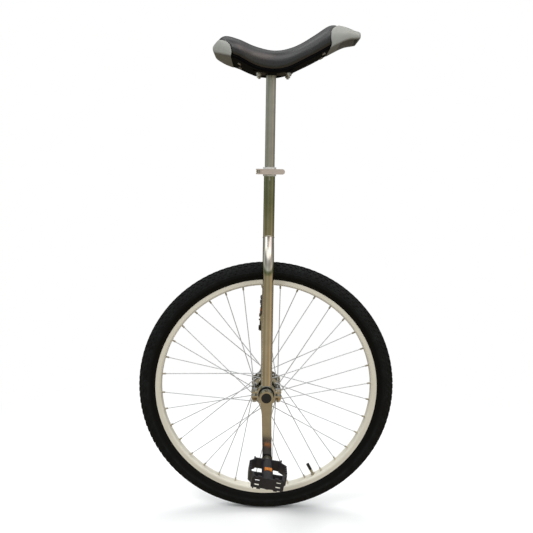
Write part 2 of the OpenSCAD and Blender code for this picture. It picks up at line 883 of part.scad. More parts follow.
// Outline of the saddle across X: a flat bottom and a crowned top.
// grow moves the top and sides out, low is the height of the upright foot of each
// side, and floor_lift raises the bottom.
function section(st, grow, low, floor_lift) = let (
        half_w = st[3] + grow,
        bottom = st[1] + floor_lift,
        crown = st[2] + grow)
    concat([[-half_w * 0.93, bottom], [half_w * 0.93, bottom]],
        [for (k = [0 : section_points / 2]) let (a = 180 * k / (section_points / 2))
            [half_w * sign(cos(a)) * pow(abs(cos(a)), 0.75),
             bottom + low + (crown - bottom - low) * pow(sin(a), 0.85)]]);

// A thin slice of the saddle's outline at one station
module slice_at(st, grow, low, floor_lift) {
    translate([st[0], 0, saddle_z]) rotate([90, 0, 90]) linear_extrude(slice_t)
        polygon(section(st, grow, low, floor_lift));
}

// The saddle's outer form: a hull from each slice to the next
module saddle_form(grow, low, floor_lift) {
    for (i = [0 : len(slices) - 2]) hull() {
        slice_at(slices[i], grow, low, floor_lift);
        slice_at(slices[i + 1], grow, low, floor_lift);
    }
}

// Everything between two values of x
module span_x(x0, x1) {
    translate([x0, -200, saddle_z - 100]) cube([x1 - x0, 400, 400]);
}

module saddle_cover() {
    color("#1d1f21") difference() {
        intersection() {
            saddle_form(0, 4, base_t);
            span_x(cover_x0, cover_x1);
        }
        saddle_form(-cover_t, 3, base_t - 1);
        rear_bumper_zone(0);
        front_handle_zone(0);
    }
}

module saddle_foam() {
    color("#d9c98f") difference() {
        intersection() {
            saddle_form(-cover_t - 0.1, 3, base_t - 1);
            saddle_form(20, 3, base_t + 0.1);
            span_x(cover_x0 + 5, cover_x1 - 3);
        }
        plate_pad(0.2, 2);
        at_saddle_bolts() cylinder(r = bolt_head_r + 0.7, h = 12, $fn = 32);
        rear_bumper_zone(0.3);
        front_handle_zone(0.3);
        rear_tongue(0.3);
        front_tongue(0.3);
        at_screws() cylinder(r = screw_r + 0.4, h = 14, $fn = 32);
    }
}

// The thick part of the base that the bracket is bolted to
module plate_pad(grow, extra) {
    pad_l = plate_l + 12 + 2 * grow;
    pad_w = plate_w + 12 + 2 * grow;
    translate([plate_x - pad_l / 2, -pad_w / 2, post_top_z + plate_t - extra])
        cube([pad_l, pad_w, pad_h + grow + extra]);
}

module saddle_base() {
    pocket_l = plate_l + 1;
    pocket_w = plate_w + 1;
    color("#161718") difference() {
        union() {
            difference() {
                saddle_form(-1.5, 4, 0);
                saddle_form(4, 3, base_t);
            }
            intersection() {
                plate_pad(0, 2);
                saddle_form(-4, 3, -2);
            }
        }
        translate([plate_x - pocket_l / 2, -pocket_w / 2, saddle_z - 20])
            cube([pocket_l, pocket_w, 20 + post_top_z + plate_t - saddle_z]);
        at_saddle_bolts() {
            cylinder(r = saddle_bolt_r + 0.2, h = 60, center = true, $fn = 32);
            translate([0, 0, plate_t + pad_h - 0.05])
                cylinder(r = bolt_head_r + 0.3, h = 20, $fn = 32);
        }
        screw_holes();
        span_x(-300, cover_x0 + 4);
        span_x(cover_x1 - 3, 300);
        rear_bumper_zone(0.05);
        front_handle_zone(0.05);
    }
}

// Side outline of the rear bumper, as a block across the saddle
module rear_bumper_zone(grow) {
    slab_z() offset(delta = grow) polygon([
        [-160, 5], [-80, 5], [-80, 18], [-87, 26], [-84, 34], [-87, 49], [-94, 58], [-114, 66],
        [-160, 62]
    ]);
}

// Side outline of the front handle, as a block across the saddle
module front_handle_zone(grow) {
    slab_z() offset(delta = grow) polygon([
        [123, 30], [123, 50], [128, 58], [125, 72], [126, 88], [132, 96], [145, 104], [158, 130],
        [230, 130], [230, 20]
    ]);
}

module slab_z() {
    translate([0, 0, saddle_z]) slab_y(-150, 150) children();
}

// Puts children on the base's underside, where the bumper's screws go in
module at_rear_screws() {
    translate([-69, 0, saddle_z + 20.3]) rotate([0, 22, 0]) children();
}

// Puts children on the base's underside, where the handle's screws go in
module at_front_screws() {
    translate([112, 0, saddle_z + 44.2]) rotate([0, -29, 0]) children();
}

module at_screws() {
    for (y = [-screw_y, screw_y]) {
        at_rear_screws() translate([0, y, 0]) children();
        at_front_screws() translate([0, y, 0]) children();
    }
}

// Tongue of the bumper that lies on the base and takes its screws
module rear_tongue(grow) {
    at_rear_screws() translate([-24, -40 - grow, 5.2 - grow])
        cube([31 + grow, 80 + 2 * grow, tongue_t + 2 * grow]);
}

// Tongue of the handle that lies on the base and takes its screws
module front_tongue(grow) {
    at_front_screws() translate([-7 - grow, -40 - grow, 4.6 - grow])
        cube([33 + grow, 80 + 2 * grow, tongue_t + 2 * grow]);
}

module screw_holes() {
    at_screws() translate([0, 0, -4]) cylinder(r = screw_r + 0.1, h = 20, $fn = 32);
}

module rear_bumper() {
    color("#adaea9") difference() {
        union() {
            intersection() {
                difference() {
                    saddle_form(1.2, 4, -1);
                    saddle_form(-2.2, 4, 8);
                }
                rear_bumper_zone(-0.1);
            }
            rear_tongue(0);
        }
        screw_holes();
    }
}

// The shell of the handle, open below where the fingers go
module front_handle() {
    color("#adaea9") difference() {
        union() {
            intersection() {
                difference() {
                    saddle_form(1.2, 4, -1);
                    difference() {
                        saddle_form(-2.4, 4, -20);
                        slab_z() translate([100, 0]) square([46, 69]);
                    }
                    slab_z() translate([100, 69]) square([39, 60]);
                }
                front_handle_zone(-0.1);
            }
            front_tongue(0);
        }
        screw_holes();
    }
}

module handle_screws() {
    color("silver") at_screws() {
        translate([0, 0, -2.7]) cylinder(r = 4, h = 2.5);
        translate([0, 0, -2.7]) cylinder(r = screw_r, h = 12);
    }
}

frame_tube();
right_leg();
left_leg();
right_bearing_seat();
left_bearing_seat();
right_bearing_cap();
left_bearing_cap();
cap_bolts();
cap_nuts();
bearing_outer_rings();
bearing_seals();
clamp_collar();
clamp_washer();
tyre();
inner_tube();
rim_tape();
rim();
spokes();
spoke_nipples();
hub_shell();
axle();
bearing_inner_rings();
valve_stem();
valve_cap();
right_crank();
left_crank();
crank_bolts();
dust_caps();
right_pedal_spindle();
left_pedal_spindle();
pedal_locknuts();
right_bearing_balls();
left_bearing_balls();
right_bearing_cage();
left_bearing_cage();
right_pedal_body();
left_pedal_body();
right_pedal_end_cap();
left_pedal_end_cap();
right_pedal_reflectors();
left_pedal_reflectors();
right_pedal_bushes();
left_pedal_bushes();
seat_post();
post_bracket();
saddle_bolts();
saddle_nuts();
saddle_base();
saddle_foam();
saddle_cover();
front_handle();
rear_bumper();
handle_screws();
clamp_skewer();
clamp_pivot_pin();
clamp_lever();
clamp_nut();
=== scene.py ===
"""Looks of a unicycle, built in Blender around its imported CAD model.

Everything is in metres in the CAD frame: +X is the riding direction, +Y the rider's left,
+Z up, and the origin is on the ground below the axle.  Main sizes are read from the frame.
"""

import json
import math

import bmesh
import bpy
from mathutils import Matrix, Vector, noise


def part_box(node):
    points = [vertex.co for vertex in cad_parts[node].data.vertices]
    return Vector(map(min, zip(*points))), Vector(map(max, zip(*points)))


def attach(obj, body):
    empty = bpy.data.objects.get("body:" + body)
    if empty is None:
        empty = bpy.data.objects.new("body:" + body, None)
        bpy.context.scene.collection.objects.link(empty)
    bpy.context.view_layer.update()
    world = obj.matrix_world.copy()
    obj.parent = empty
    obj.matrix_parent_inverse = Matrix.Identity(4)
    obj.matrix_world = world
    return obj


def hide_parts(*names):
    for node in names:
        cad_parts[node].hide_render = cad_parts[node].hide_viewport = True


MM = 0.001
RIGHT, LEFT = -1, 1

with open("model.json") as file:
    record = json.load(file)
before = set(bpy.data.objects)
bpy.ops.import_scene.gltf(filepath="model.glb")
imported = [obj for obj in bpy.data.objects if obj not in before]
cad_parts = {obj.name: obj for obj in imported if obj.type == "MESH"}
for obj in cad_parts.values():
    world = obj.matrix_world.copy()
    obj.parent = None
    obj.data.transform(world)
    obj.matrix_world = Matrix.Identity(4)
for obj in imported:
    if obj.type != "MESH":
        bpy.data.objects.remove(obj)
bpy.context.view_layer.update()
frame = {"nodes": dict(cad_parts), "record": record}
nodes = frame["nodes"]


# ---------- places taken from the frame ----------

def middle(node):
    low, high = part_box(node)
    return (low + high) / 2


def size(node):
    low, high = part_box(node)
    return high - low


AXLE = middle("tyre")
TYRE_R = size("tyre").x / 2
TYRE_SECTION_R = size("tyre").y / 2
TYRE_RING_R = TYRE_R - TYRE_SECTION_R
RIM_R = size("rim").x / 2
TUBE_R = size("frame_tube").x / 2
LEG_R = size("left_leg").x / 2
# Each leg leans in by 45 degrees above its bend, so the joints are mitred at half of that
MITRE = math.tan(math.radians(22.5))
LEG_Y = middle("left_bearing_seat").y
CROWN_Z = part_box("left_leg")[1].z - LEG_R * MITRE
SADDLE_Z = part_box("saddle_base")[0].z


# ---------- materials ----------

def add_node(tree, kind, **values):
    """Adds a shader node with those properties."""
    node = tree.nodes.new(kind)
    for key, value in values.items():
        setattr(node, key, value)
    return node


def add_ramp(tree, value, stops):
    """Maps a value through grey levels or colours, given as (place, level) pairs."""
    node = add_node(tree, "ShaderNodeValToRGB")
    points = node.color_ramp.elements
    while len(points) < len(stops):
        points.new(1.0)
    for point, (place, level) in zip(points, stops):
        point.position = place
        point.color = (*level, 1) if isinstance(level, tuple) else (level, level, level, 1)
    tree.links.new(value, node.inputs["Fac"])
    return node.outputs["Color"]


class Finish:
    """One procedural material, built up around a Principled shader."""

    def __init__(self, name, colour, **settings):
        self.material = bpy.data.materials.new(name)
        self.material.use_nodes = True
        self.tree = self.material.node_tree
        self.shader = self.tree.nodes["Principled BSDF"]
        self.shader.inputs["Base Color"].default_value = (*colour, 1)
        for socket, value in settings.items():
            self.shader.inputs[socket.replace("_", " ")].default_value = value
        self.colour = colour
        self.place = self.add("ShaderNodeTexCoord").outputs["Object"]
        self.normal = None

    def add(self, kind, **values):
        return add_node(self.tree, kind, **values)

    def join(self, source, target):
        self.tree.links.new(source, target)

    def stretched(self, x, y, z):
        """Object coordinates scaled along each axis, for grain that runs one way."""
        mapping = self.add("ShaderNodeMapping")
        mapping.inputs["Scale"].default_value = (x, y, z)
        self.join(self.place, mapping.inputs["Vector"])
        return mapping.outputs["Vector"]

    def noise(self, scale, detail=4.0, rough=0.55, place=None, warp=0.0):
        """Drifting levels from 0 to 1, with about that many patches to the metre."""
        node = self.add("ShaderNodeTexNoise")
        node.inputs["Scale"].default_value = scale
        node.inputs["Detail"].default_value = detail
        node.inputs["Roughness"].default_value = rough
        node.inputs["Distortion"].default_value = warp
        self.join(place or self.place, node.inputs["Vector"])
        return node.outputs["Fac"]

    def off_axle(self):
        """Distance of the surface from the wheel's axis."""
        shift = self.add("ShaderNodeVectorMath", operation="SUBTRACT")
        shift.inputs[1].default_value = AXLE
        self.join(self.place, shift.inputs[0])
        flat = self.add("ShaderNodeVectorMath", operation="MULTIPLY")
        flat.inputs[1].default_value = (1, 0, 1)
        self.join(shift.outputs["Vector"], flat.inputs[0])
        length = self.add("ShaderNodeVectorMath", operation="LENGTH")
        self.join(flat.outputs["Vector"], length.inputs[0])
        return length.outputs["Value"]

    def cells(self, scale, feature="F1"):
        """Small cells, about that many to the metre, as the distance that the feature means."""
        node = self.add("ShaderNodeTexVoronoi", feature=feature)
        node.inputs["Scale"].default_value = scale
        self.join(self.place, node.inputs["Vector"])
        return node.outputs["Distance"]

    def ramp(self, value, *stops):
        return add_ramp(self.tree, value, stops)

    def mix(self, mask, first, second):
        """Colour that goes from first to second as mask goes from 0 to 1."""
        node = self.add("ShaderNodeMix", data_type="RGBA")
        self.join(mask, node.inputs["Factor"])
        for socket, value in ((node.inputs[6], first), (node.inputs[7], second)):
            if isinstance(value, tuple):
                socket.default_value = (*value, 1)
            else:
                self.join(value, socket)
        return node.outputs[2]

    def tint(self, mask, low, high):
        """Colours the surface from low to high shares of its own colour."""
        first = tuple(min(1.0, c * low) for c in self.colour)
        second = tuple(min(1.0, c * high) for c in self.colour)
        self.paint(self.mix(mask, first, second))

    def paint(self, colour):
        self.join(colour, self.shader.inputs["Base Color"])

    def rough(self, value, low, high):
        """Roughness that goes from low to high with the value."""
        node = self.add("ShaderNodeMapRange")
        node.inputs["To Min"].default_value = low
        node.inputs["To Max"].default_value = high
        self.join(value, node.inputs["Value"])
        self.join(node.outputs["Result"], self.shader.inputs["Roughness"])

    def relief(self, height, depth, strength=1.0):
        """Adds a bump of that depth in metres on top of any earlier one."""
        node = self.add("ShaderNodeBump")
        node.inputs["Strength"].default_value = strength
        node.inputs["Distance"].default_value = depth
        self.join(height, node.inputs["Height"])
        if self.normal is not None:
            self.join(self.normal, node.inputs["Normal"])
        self.normal = node.outputs["Normal"]
        self.join(self.normal, self.shader.inputs["Normal"])


def plated(name, colour, shine=(0.05, 0.14), pits=0.00002):
    """Bright plating: nearly a mirror, with smudges, fine pits and a faint waviness."""
    finish = Finish(name, colour, Metallic=1.0, Specular_IOR_Level=0.5)
    smudges = finish.noise(38, 6, 0.62, warp=0.4)
    finish.tint(finish.ramp(smudges, (0.35, 0.0), (0.7, 1.0)), 0.9, 1.05)
    scratches = finish.noise(420, 3, 0.6, finish.stretched(1, 1, 0.12))
    finish.rough(finish.mix(scratches, finish.ramp(smudges, (0.3, 0.0), (0.75, 1.0)), (1, 1, 1)),
                 shine[0], shine[1])
    finish.relief(finish.noise(26, 2, 0.4), 0.00012, 0.25)
    finish.relief(finish.noise(2600, 2, 0.5), pits, 0.35)
    return finish.material


def drawn(name, colour, shine=(0.22, 0.4), along=(1, 1, 0.05), dirt=(0.78, 1.06), **settings):
    """Drawn or turned steel: fine lines along one way and a mottled dull bloom."""
    finish = Finish(name, colour, **{"Metallic": 1.0, **settings})
    lines = finish.noise(900, 4, 0.6, finish.stretched(*along))
    bloom = finish.noise(55, 6, 0.6, warp=0.6)
    finish.tint(finish.ramp(bloom, (0.3, 0.0), (0.72, 1.0)), *dirt)
    finish.rough(lines, shine[0], shine[1])
    finish.relief(lines, 0.00003, 0.5)
    finish.relief(finish.noise(1500, 3, 0.5), 0.00002, 0.4)
    return finish.material


def passivated(name, colour, second):
    """Zinc or brass plate: two drifting tones, matt in patches, with a crystalline bloom."""
    finish = Finish(name, colour, Metallic=1.0)
    drift = finish.noise(70, 5, 0.6, warp=1.2)
    finish.paint(finish.mix(finish.ramp(drift, (0.38, 0.0), (0.62, 1.0)), colour, second))
    crystals = finish.cells(900)
    finish.rough(finish.mix(drift, finish.ramp(crystals, (0.0, 0.2), (0.8, 1.0)), (1, 1, 1)),
                 0.16, 0.38)
    finish.relief(crystals, 0.00003, 0.4)
    return finish.material


def moulded(name, colour, shine=(0.36, 0.55), grain=1400, depth=0.00004, worn=1.35, **settings):
    """Moulded plastic: fine spark-eroded grain, a slight sink and flow marks."""
    finish = Finish(name, colour, **settings)
    flow = finish.noise(30, 5, 0.6, finish.stretched(1, 1, 0.4), warp=0.8)
    finish.tint(finish.ramp(flow, (0.34, 0.0), (0.7, 1.0)), 0.86, worn)
    texture = finish.cells(grain)
    finish.rough(finish.mix(texture, flow, (1, 1, 1)), shine[0], shine[1])
    finish.relief(flow, 0.0003, 0.15)
    finish.relief(texture, depth, 0.6)
    return finish.material


def rubber(name, colour, bloom, shine=(0.55, 0.8), darker_below=0.0):
    """Black rubber with a dusty bloom, mould speckle and soft scuffs.

    Near the axle's line, within the given distance, the bloom is left out and the rubber is darker,
    at 0.3 of its colour.
    """
    finish = Finish(name, colour, Specular_IOR_Level=0.2)
    dust = finish.noise(46, 7, 0.66, warp=0.5)
    fine = finish.noise(700, 4, 0.6)
    dusty = finish.mix(finish.ramp(dust, (0.42, 0.0), (0.78, 1.0)), colour, bloom)
    if darker_below:
        outer = finish.add("ShaderNodeMapRange")
        outer.inputs["From Min"].default_value = darker_below
        outer.inputs["From Max"].default_value = darker_below + 6 * MM
        finish.join(finish.off_axle(), outer.inputs["Value"])
        # Darker band next to the rim: 0.3 of the colour and no bloom.
        dusty = finish.mix(outer.outputs["Result"], tuple(c * 0.3 for c in colour), dusty)
    finish.paint(dusty)
    finish.rough(finish.mix(fine, finish.ramp(dust, (0.3, 0.0), (0.8, 1.0)), (1, 1, 1)),
                 shine[0], shine[1])
    finish.relief(fine, 0.00012, 0.5)
    finish.relief(finish.cells(1500), 0.00004, 0.3)
    return finish.material


def vinyl(name):
    """Soft black vinyl: pebbled leather grain, grooves between the pebbles that are also painted
    darker as shade, and a low sheen.
    """
    finish = Finish(name, (0.010, 0.011, 0.013), Specular_IOR_Level=0.85, Sheen_Weight=0.02,
                    Sheen_Roughness=0.45)
    pebbles = finish.cells(950)
    crease_depth_and_shade = finish.ramp(finish.cells(950, "DISTANCE_TO_EDGE"), (0.0, 0.0), (0.12, 1.0))
    wear = finish.noise(18, 5, 0.6, warp=0.3)
    worn = finish.mix(finish.ramp(wear, (0.4, 0.0), (0.75, 1.0)), (0.005, 0.006, 0.0065),
                      (0.009, 0.0105, 0.012))
    # Painted shade: the grooves between the pebbles are painted darker than the pebbles.
    finish.paint(finish.mix(crease_depth_and_shade, (0.004, 0.0045, 0.005), worn))
    finish.rough(finish.mix(wear, pebbles, (1, 1, 1)), 0.14, 0.24)
    finish.relief(crease_depth_and_shade, 0.00010, 0.35)
    finish.relief(pebbles, 0.00014, 0.3)
    finish.relief(finish.noise(120, 3, 0.5), 0.00035, 0.25)
    return finish.material


def lens(name):
    """Amber reflector: clear plastic over rows of small cube corners."""
    finish = Finish(name, (0.95, 0.30, 0.02), IOR=1.49, Transmission_Weight=0.35,
                    Coat_Weight=0.6)
    cubes = finish.cells(420)
    finish.paint(finish.ramp(cubes, (0.0, (1.0, 0.52, 0.06)), (0.45, (0.95, 0.30, 0.02)),
                             (0.9, (0.55, 0.12, 0.005))))
    finish.rough(cubes, 0.08, 0.25)
    finish.relief(cubes, 0.0004, 0.8)
    return finish.material


def lacquered(name):
    """Silver-cream lacquer on rolled steel, with fine flecks, fine bumps and a dulled surface."""
    finish = Finish(name, (0.84, 0.80, 0.68), Metallic=0.3, Coat_Weight=0.25,
                    Coat_Roughness=0.25)
    flakes = finish.cells(2400)
    haze = finish.noise(24, 6, 0.6, warp=0.4)
    finish.tint(finish.mix(haze, finish.ramp(flakes, (0.0, 0.4), (1.0, 1.0)), (1, 1, 1)), 0.84, 1.12)
    finish.rough(haze, 0.3, 0.5)
    finish.relief(finish.noise(300, 4, 0.6), 0.00004, 0.4)
    return finish.material


def foam(name):
    """Moulded yellow foam with open cells, painted darker in the pores as shade."""
    finish = Finish(name, (0.80, 0.70, 0.42))
    pores = finish.cells(1100)
    # Painted shade: the pores are painted darker than the foam between them.
    finish.tint(pores, 0.7, 1.1)
    finish.rough(pores, 0.8, 0.95)
    finish.relief(pores, 0.0005, 0.8)
    return finish.material


FINISHES = {
    "frame_chrome": lambda name: plated(name, (0.66, 0.64, 0.57)),
    "crank_chrome": lambda name: plated(name, (0.64, 0.62, 0.54), (0.08, 0.2)),
    "hub_chrome": lambda name: plated(name, (0.70, 0.70, 0.68), (0.07, 0.18)),
    "zinc_steel": lambda name: passivated(name, (0.80, 0.81, 0.80), (0.62, 0.64, 0.66)),
    "yellow_zinc": lambda name: passivated(name, (0.50, 0.40, 0.24), (0.42, 0.36, 0.33)),
    "bearing_steel": lambda name: drawn(name, (0.68, 0.69, 0.70), (0.1, 0.22), (1, 0.05, 1)),
    "seal_rubber": lambda name: rubber(name, (0.012, 0.012, 0.012), (0.04, 0.04, 0.04)),
    "clamp_alloy": lambda name: drawn(name, (0.86, 0.83, 0.80), (0.34, 0.5), (0.06, 1, 1),
                                        (0.9, 1.04), Metallic=0.5),
    "clamp_brass": lambda name: passivated(name, (0.62, 0.46, 0.20), (0.45, 0.33, 0.15)),
    "tyre_rubber": lambda name: rubber(name, (0.0040, 0.0046, 0.0044), (0.0125, 0.0150, 0.0138),
                                       darker_below=RIM_R + 10 * MM),
    "tube_rubber": lambda name: rubber(name, (0.016, 0.016, 0.016), (0.05, 0.05, 0.05)),
    "tape_rubber": lambda name: rubber(name, (0.05, 0.13, 0.32), (0.12, 0.2, 0.36)),
    "rim_steel": lacquered,
    "spoke_steel": lambda name: drawn(name, (0.66, 0.67, 0.68), (0.4, 0.55), (1, 1, 1),
                                        (0.88, 1.05), Metallic=0.35),
    "nipple_brass": lambda name: passivated(name, (0.66, 0.64, 0.56), (0.50, 0.47, 0.40)),
    "axle_steel": lambda name: drawn(name, (0.45, 0.45, 0.44), (0.25, 0.42), (1, 0.05, 1)),
    "valve_nickel": lambda name: passivated(name, (0.60, 0.58, 0.52), (0.48, 0.45, 0.38)),
    "black_plastic": lambda name: moulded(name, (0.012, 0.012, 0.013), (0.3, 0.48)),
    "pedal_plastic": lambda name: moulded(name, (0.017, 0.0155, 0.0185), (0.3, 0.48), worn=1.6),
    "amber_lens": lens,
    "bush_nylon": lambda name: moulded(name, (0.72, 0.68, 0.56), (0.4, 0.55), worn=1.08),
    "post_steel": lambda name: drawn(name, (0.60, 0.61, 0.58), (0.34, 0.46), (1, 1, 0.03),
                                       (0.88, 1.05)),
    "bracket_steel": lambda name: moulded(name, (0.010, 0.010, 0.011), (0.4, 0.6), 900,
                                          Specular_IOR_Level=0.3),
    "saddle_vinyl": vinyl,
    "saddle_foam": foam,
    "saddle_plastic": lambda name: moulded(name, (0.006, 0.006, 0.0065), (0.6, 0.78),
                                           Specular_IOR_Level=0.03),
    "bumper_plastic": lambda name: moulded(name, (0.33, 0.335, 0.305), (0.36, 0.5), 1000,
                                           0.00003, 1.06, Metallic=0.2),
}
finishes = {slot: make(slot) for slot, make in FINISHES.items()}


# ---------- mesh helpers ----------

def new_piece(name, mesh, slot, body):
    """Links a mesh as a piece with that slot's finish, riding on a CAD body."""
    piece = bpy.data.objects.new(name, mesh)
    bpy.context.scene.collection.objects.link(piece)
    mesh.materials.clear()
    mesh.materials.append(finishes[slot])
    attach(piece, body)
    return piece


def mesh_of(name, points, faces, smooth=True):
    """A mesh from points and faces, shaded smooth or flat."""
    mesh = bpy.data.meshes.new(name)
    mesh.from_pydata([tuple(p) for p in points], [], faces)
    mesh.validate()
    mesh.polygons.foreach_set("use_smooth", [smooth] * len(mesh.polygons))
    return mesh


def grid_faces(rows, columns, wrap_rows=False, wrap_columns=False):
    """Quads of a grid of points, stored row after row."""
    faces = []
    for r in range(rows if wrap_rows else rows - 1):
        for c in range(columns if wrap_columns else columns - 1):
            s, d = (r + 1) % rows, (c + 1) % columns
            faces.append((r * columns + c, r * columns + d, s * columns + d, s * columns + c))
    return faces


def outward(mesh):
    """Turns a closed mesh's faces to point outwards."""
    work = bmesh.new()
    work.from_mesh(mesh)
    bmesh.ops.recalc_face_normals(work, faces=work.faces)
    work.to_mesh(mesh)
    work.free()
    return mesh


def lofted(name, rings):
    """A closed mesh through rings of as many points each, with a flat cap at each end."""
    count = len(rings[0])
    points = [p for ring in rings for p in ring]
    faces = grid_faces(len(rings), count, wrap_columns=True)
    faces.append(tuple(range(count - 1, -1, -1)))
    faces.append(tuple(range(len(points) - count, len(points))))
    return outward(mesh_of(name, points, faces))


def applied(piece):
    """Replaces a piece's mesh with what its modifiers make of it."""
    view = bpy.context.evaluated_depsgraph_get()
    mesh = bpy.data.meshes.new_from_object(piece.evaluated_get(view))
    piece.modifiers.clear()
    piece.data = mesh
    return piece


def loose(name, mesh):
    """A working object that is still to be cut or remeshed."""
    item = bpy.data.objects.new(name, mesh)
    bpy.context.scene.collection.objects.link(item)
    return item


def cut(item, operation, *others):
    """Cuts or trims a working object with others, which are used up."""
    for other in others:
        modifier = item.modifiers.new("cut", "BOOLEAN")
        modifier.operation = operation
        modifier.solver = "EXACT"
        modifier.object = other
        applied(item)
        bpy.data.objects.remove(other)
    return item


def softened(item, voxel, passes):
    """Remeshes a solid into even quads and rounds its edges."""
    remesh = item.modifiers.new("remesh", "REMESH")
    remesh.mode = "VOXEL"
    remesh.voxel_size = voxel
    smooth = item.modifiers.new("smooth", "SMOOTH")
    smooth.iterations = passes
    smooth.factor = 0.5
    applied(item)
    item.data.polygons.foreach_set("use_smooth", [True] * len(item.data.polygons))
    return item


def into_piece(item, name, slot, body):
    """Turns a finished working object into a piece."""
    mesh = item.data
    bpy.data.objects.remove(item)
    mesh.name = name
    return new_piece(name, mesh, slot, body)


# ---------- tyre ----------

TREAD_PITCHES = 126
TREAD_HEIGHT = 1.9 * MM
CASING_R = TYRE_SECTION_R - TREAD_HEIGHT
CASING_WALL = 2.6 * MM
BEAD_ANGLE = math.radians(148)


def tyre_point(along, lift, turn):
    """A point on the casing: along its section from the crown, lifted off it, round the wheel."""
    tip = along / CASING_R
    radius = TYRE_RING_R + (CASING_R + lift) * math.cos(tip)
    y = (CASING_R + lift) * math.sin(tip)
    return AXLE + Vector((radius * math.sin(turn), y, radius * math.cos(turn)))


def casing_lift(tip):
    """Raised lines on the sidewall: a rib at the widest place and a fine one near the rim."""
    widest = math.exp(-((abs(tip) - math.radians(88)) / math.radians(3.2)) ** 2) * 1.1
    bead_line = math.exp(-((abs(tip) - math.radians(128)) / math.radians(2.4)) ** 2) * 0.6
    return (widest + bead_line) * MM


def tyre_casing():
    """The tyre's carcass as a closed shell of revolution."""
    turns, outer_steps, inner_steps = 240, 74, 24
    outer = [BEAD_ANGLE * (2 * k / outer_steps - 1) for k in range(outer_steps + 1)]
    inner = [BEAD_ANGLE * (1 - 2 * k / inner_steps) for k in range(inner_steps + 1)]
    points = []
    for t in range(turns):
        turn = 2 * math.pi * t / turns
        points += [tyre_point(tip * CASING_R, casing_lift(tip), turn) for tip in outer]
        points += [tyre_point(tip * CASING_R, -CASING_WALL, turn) for tip in inner]
    columns = len(outer) + len(inner)
    return points, grid_faces(turns, columns, wrap_rows=True, wrap_columns=True)


def tread_block(points, faces, along, turn_at, length, width, skew, height):
    """A tapered block with cut corners, pressed onto the casing."""
    corner = 0.28
    outline = [(1, 1 - corner), (1 - corner, 1), (corner - 1, 1), (-1, 1 - corner),
               (-1, corner - 1), (corner - 1, -1), (1 - corner, -1), (1, corner - 1)]
    base = len(points)
    for lift, share in ((-0.4 * MM, 1.0), (height * 0.75, 0.94), (height, 0.82)):
        for u, v in outline:
            across = u * width / 2 * share
            run = v * length / 2 * share + skew * across
            points.append(tyre_point(along + across, lift, turn_at + run / TYRE_R))
    for ring in range(2):
        for k in range(8):
            n = (k + 1) % 8
            faces.append((base + ring * 8 + k, base + ring * 8 + n,
                          base + ring * 8 + 8 + n, base + ring * 8 + 8 + k))
    faces.append(tuple(base + 16 + k for k in range(8)))
    faces.append(tuple(base + k for k in range(7, -1, -1)))


def tyre_tread():
    """Rows of blocks: a split centre rib, slanted shoulder blocks and short side bars."""
    points, faces = [], []
    pitch = 2 * math.pi / TREAD_PITCHES
    # Distance from the crown, shift in pitches, length, width and skew of each row's block
    rows = [
        (3.4, 0.0, 9.6, 5.4, 0.25), (10.6, 0.5, 8.0, 6.2, 0.55), (18.4, 0.05, 7.2, 6.6, -0.35),
        (25.4, 0.55, 5.6, 5.2, 0.0), (30.2, 0.1, 3.6, 2.8, 0.0)
    ]
    for t in range(TREAD_PITCHES):
        for side in (RIGHT, LEFT):
            for row, (along, shift, length, width, skew) in enumerate(rows):
                offset = shift + (0.5 if side == LEFT else 0.0)
                height = TREAD_HEIGHT * (1.0 - 0.16 * row)
                tread_block(points, faces, side * along * MM, (t + offset) * pitch,
                            length * MM, width * MM, side * skew, height)
    return points, faces


def make_tyre():
    """The casing stands for the CAD tyre, and its blocks are a piece of their own."""
    casing = new_piece("tyre_casing", mesh_of("tyre_casing", *tyre_casing()), "tyre_rubber",
                       "wheel")
    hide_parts("tyre")
    new_piece("tyre_tread", mesh_of("tyre_tread", *tyre_tread(), smooth=False), "tyre_rubber",
              "wheel")


# ---------- welds ----------

def bead(name, route, radius, slot, body, closed=False):
    """A weld bead: a ridge along a route, with the ripples that a welder's steps leave."""
    sides = 10
    points = []
    count = len(route)
    for i, here in enumerate(route):
        before = route[i - 1] if closed or i > 0 else here
        after = route[(i + 1) % count] if closed or i < count - 1 else here
        run = (after - before).normalized()
        side = run.cross(Vector((0.31, 0.22, 0.92))).normalized()
        up = side.cross(run)
        ripple = 1 + 0.13 * math.sin(i * 2.1) + 0.1 * noise.noise(here * 400)
        ends = 1.0 if closed else min(1.0, 0.25 + 0.25 * min(i, count - 1 - i))
        for k in range(sides):
            angle = 2 * math.pi * k / sides
            points.append(here + (side * math.cos(angle) + up * math.sin(angle))
                          * radius * ripple * ends)
    if closed:
        faces = grid_faces(count, sides, wrap_rows=True, wrap_columns=True)
    else:
        faces = grid_faces(count, sides, wrap_columns=True)
        faces.append(tuple(range(sides - 1, -1, -1)))
        faces.append(tuple(range((count - 1) * sides, count * sides)))
    return new_piece(name, mesh_of(name, points, faces), slot, body)


def crown_weld(side):
    """Round the outer half of the frame tube, where a leg's shoulder meets it."""
    route = []
    for k in range(61):
        angle = math.radians(-90 + 3 * k)
        out = TUBE_R * math.cos(angle)
        route.append(Vector((TUBE_R * math.sin(angle), side * out, CROWN_Z + out * MITRE)))
    return route


def crotch_weld():
    """Along the line where the two legs meet below the tube, short of the lowered seat post."""
    route = []
    for k in range(41):
        angle = math.radians(210 + 3 * k)
        route.append(Vector((LEG_R * math.cos(angle), 0,
                             CROWN_Z + LEG_R * math.sqrt(2) * math.sin(angle))))
    return route


def foot_weld(side):
    """Round a leg's foot, where it sits on its bearing holder."""
    seat_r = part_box("left_bearing_seat")[1].z - AXLE.z
    half = size("left_bearing_seat").y / 2
    route = []
    for k in range(72):
        angle = math.radians(5 * k)
        x = LEG_R * math.cos(angle)
        y = max(-half, min(half, LEG_R * math.sin(angle)))
        route.append(Vector((x, side * LEG_Y + y, AXLE.z + math.sqrt(seat_r ** 2 - x ** 2))))
    return route


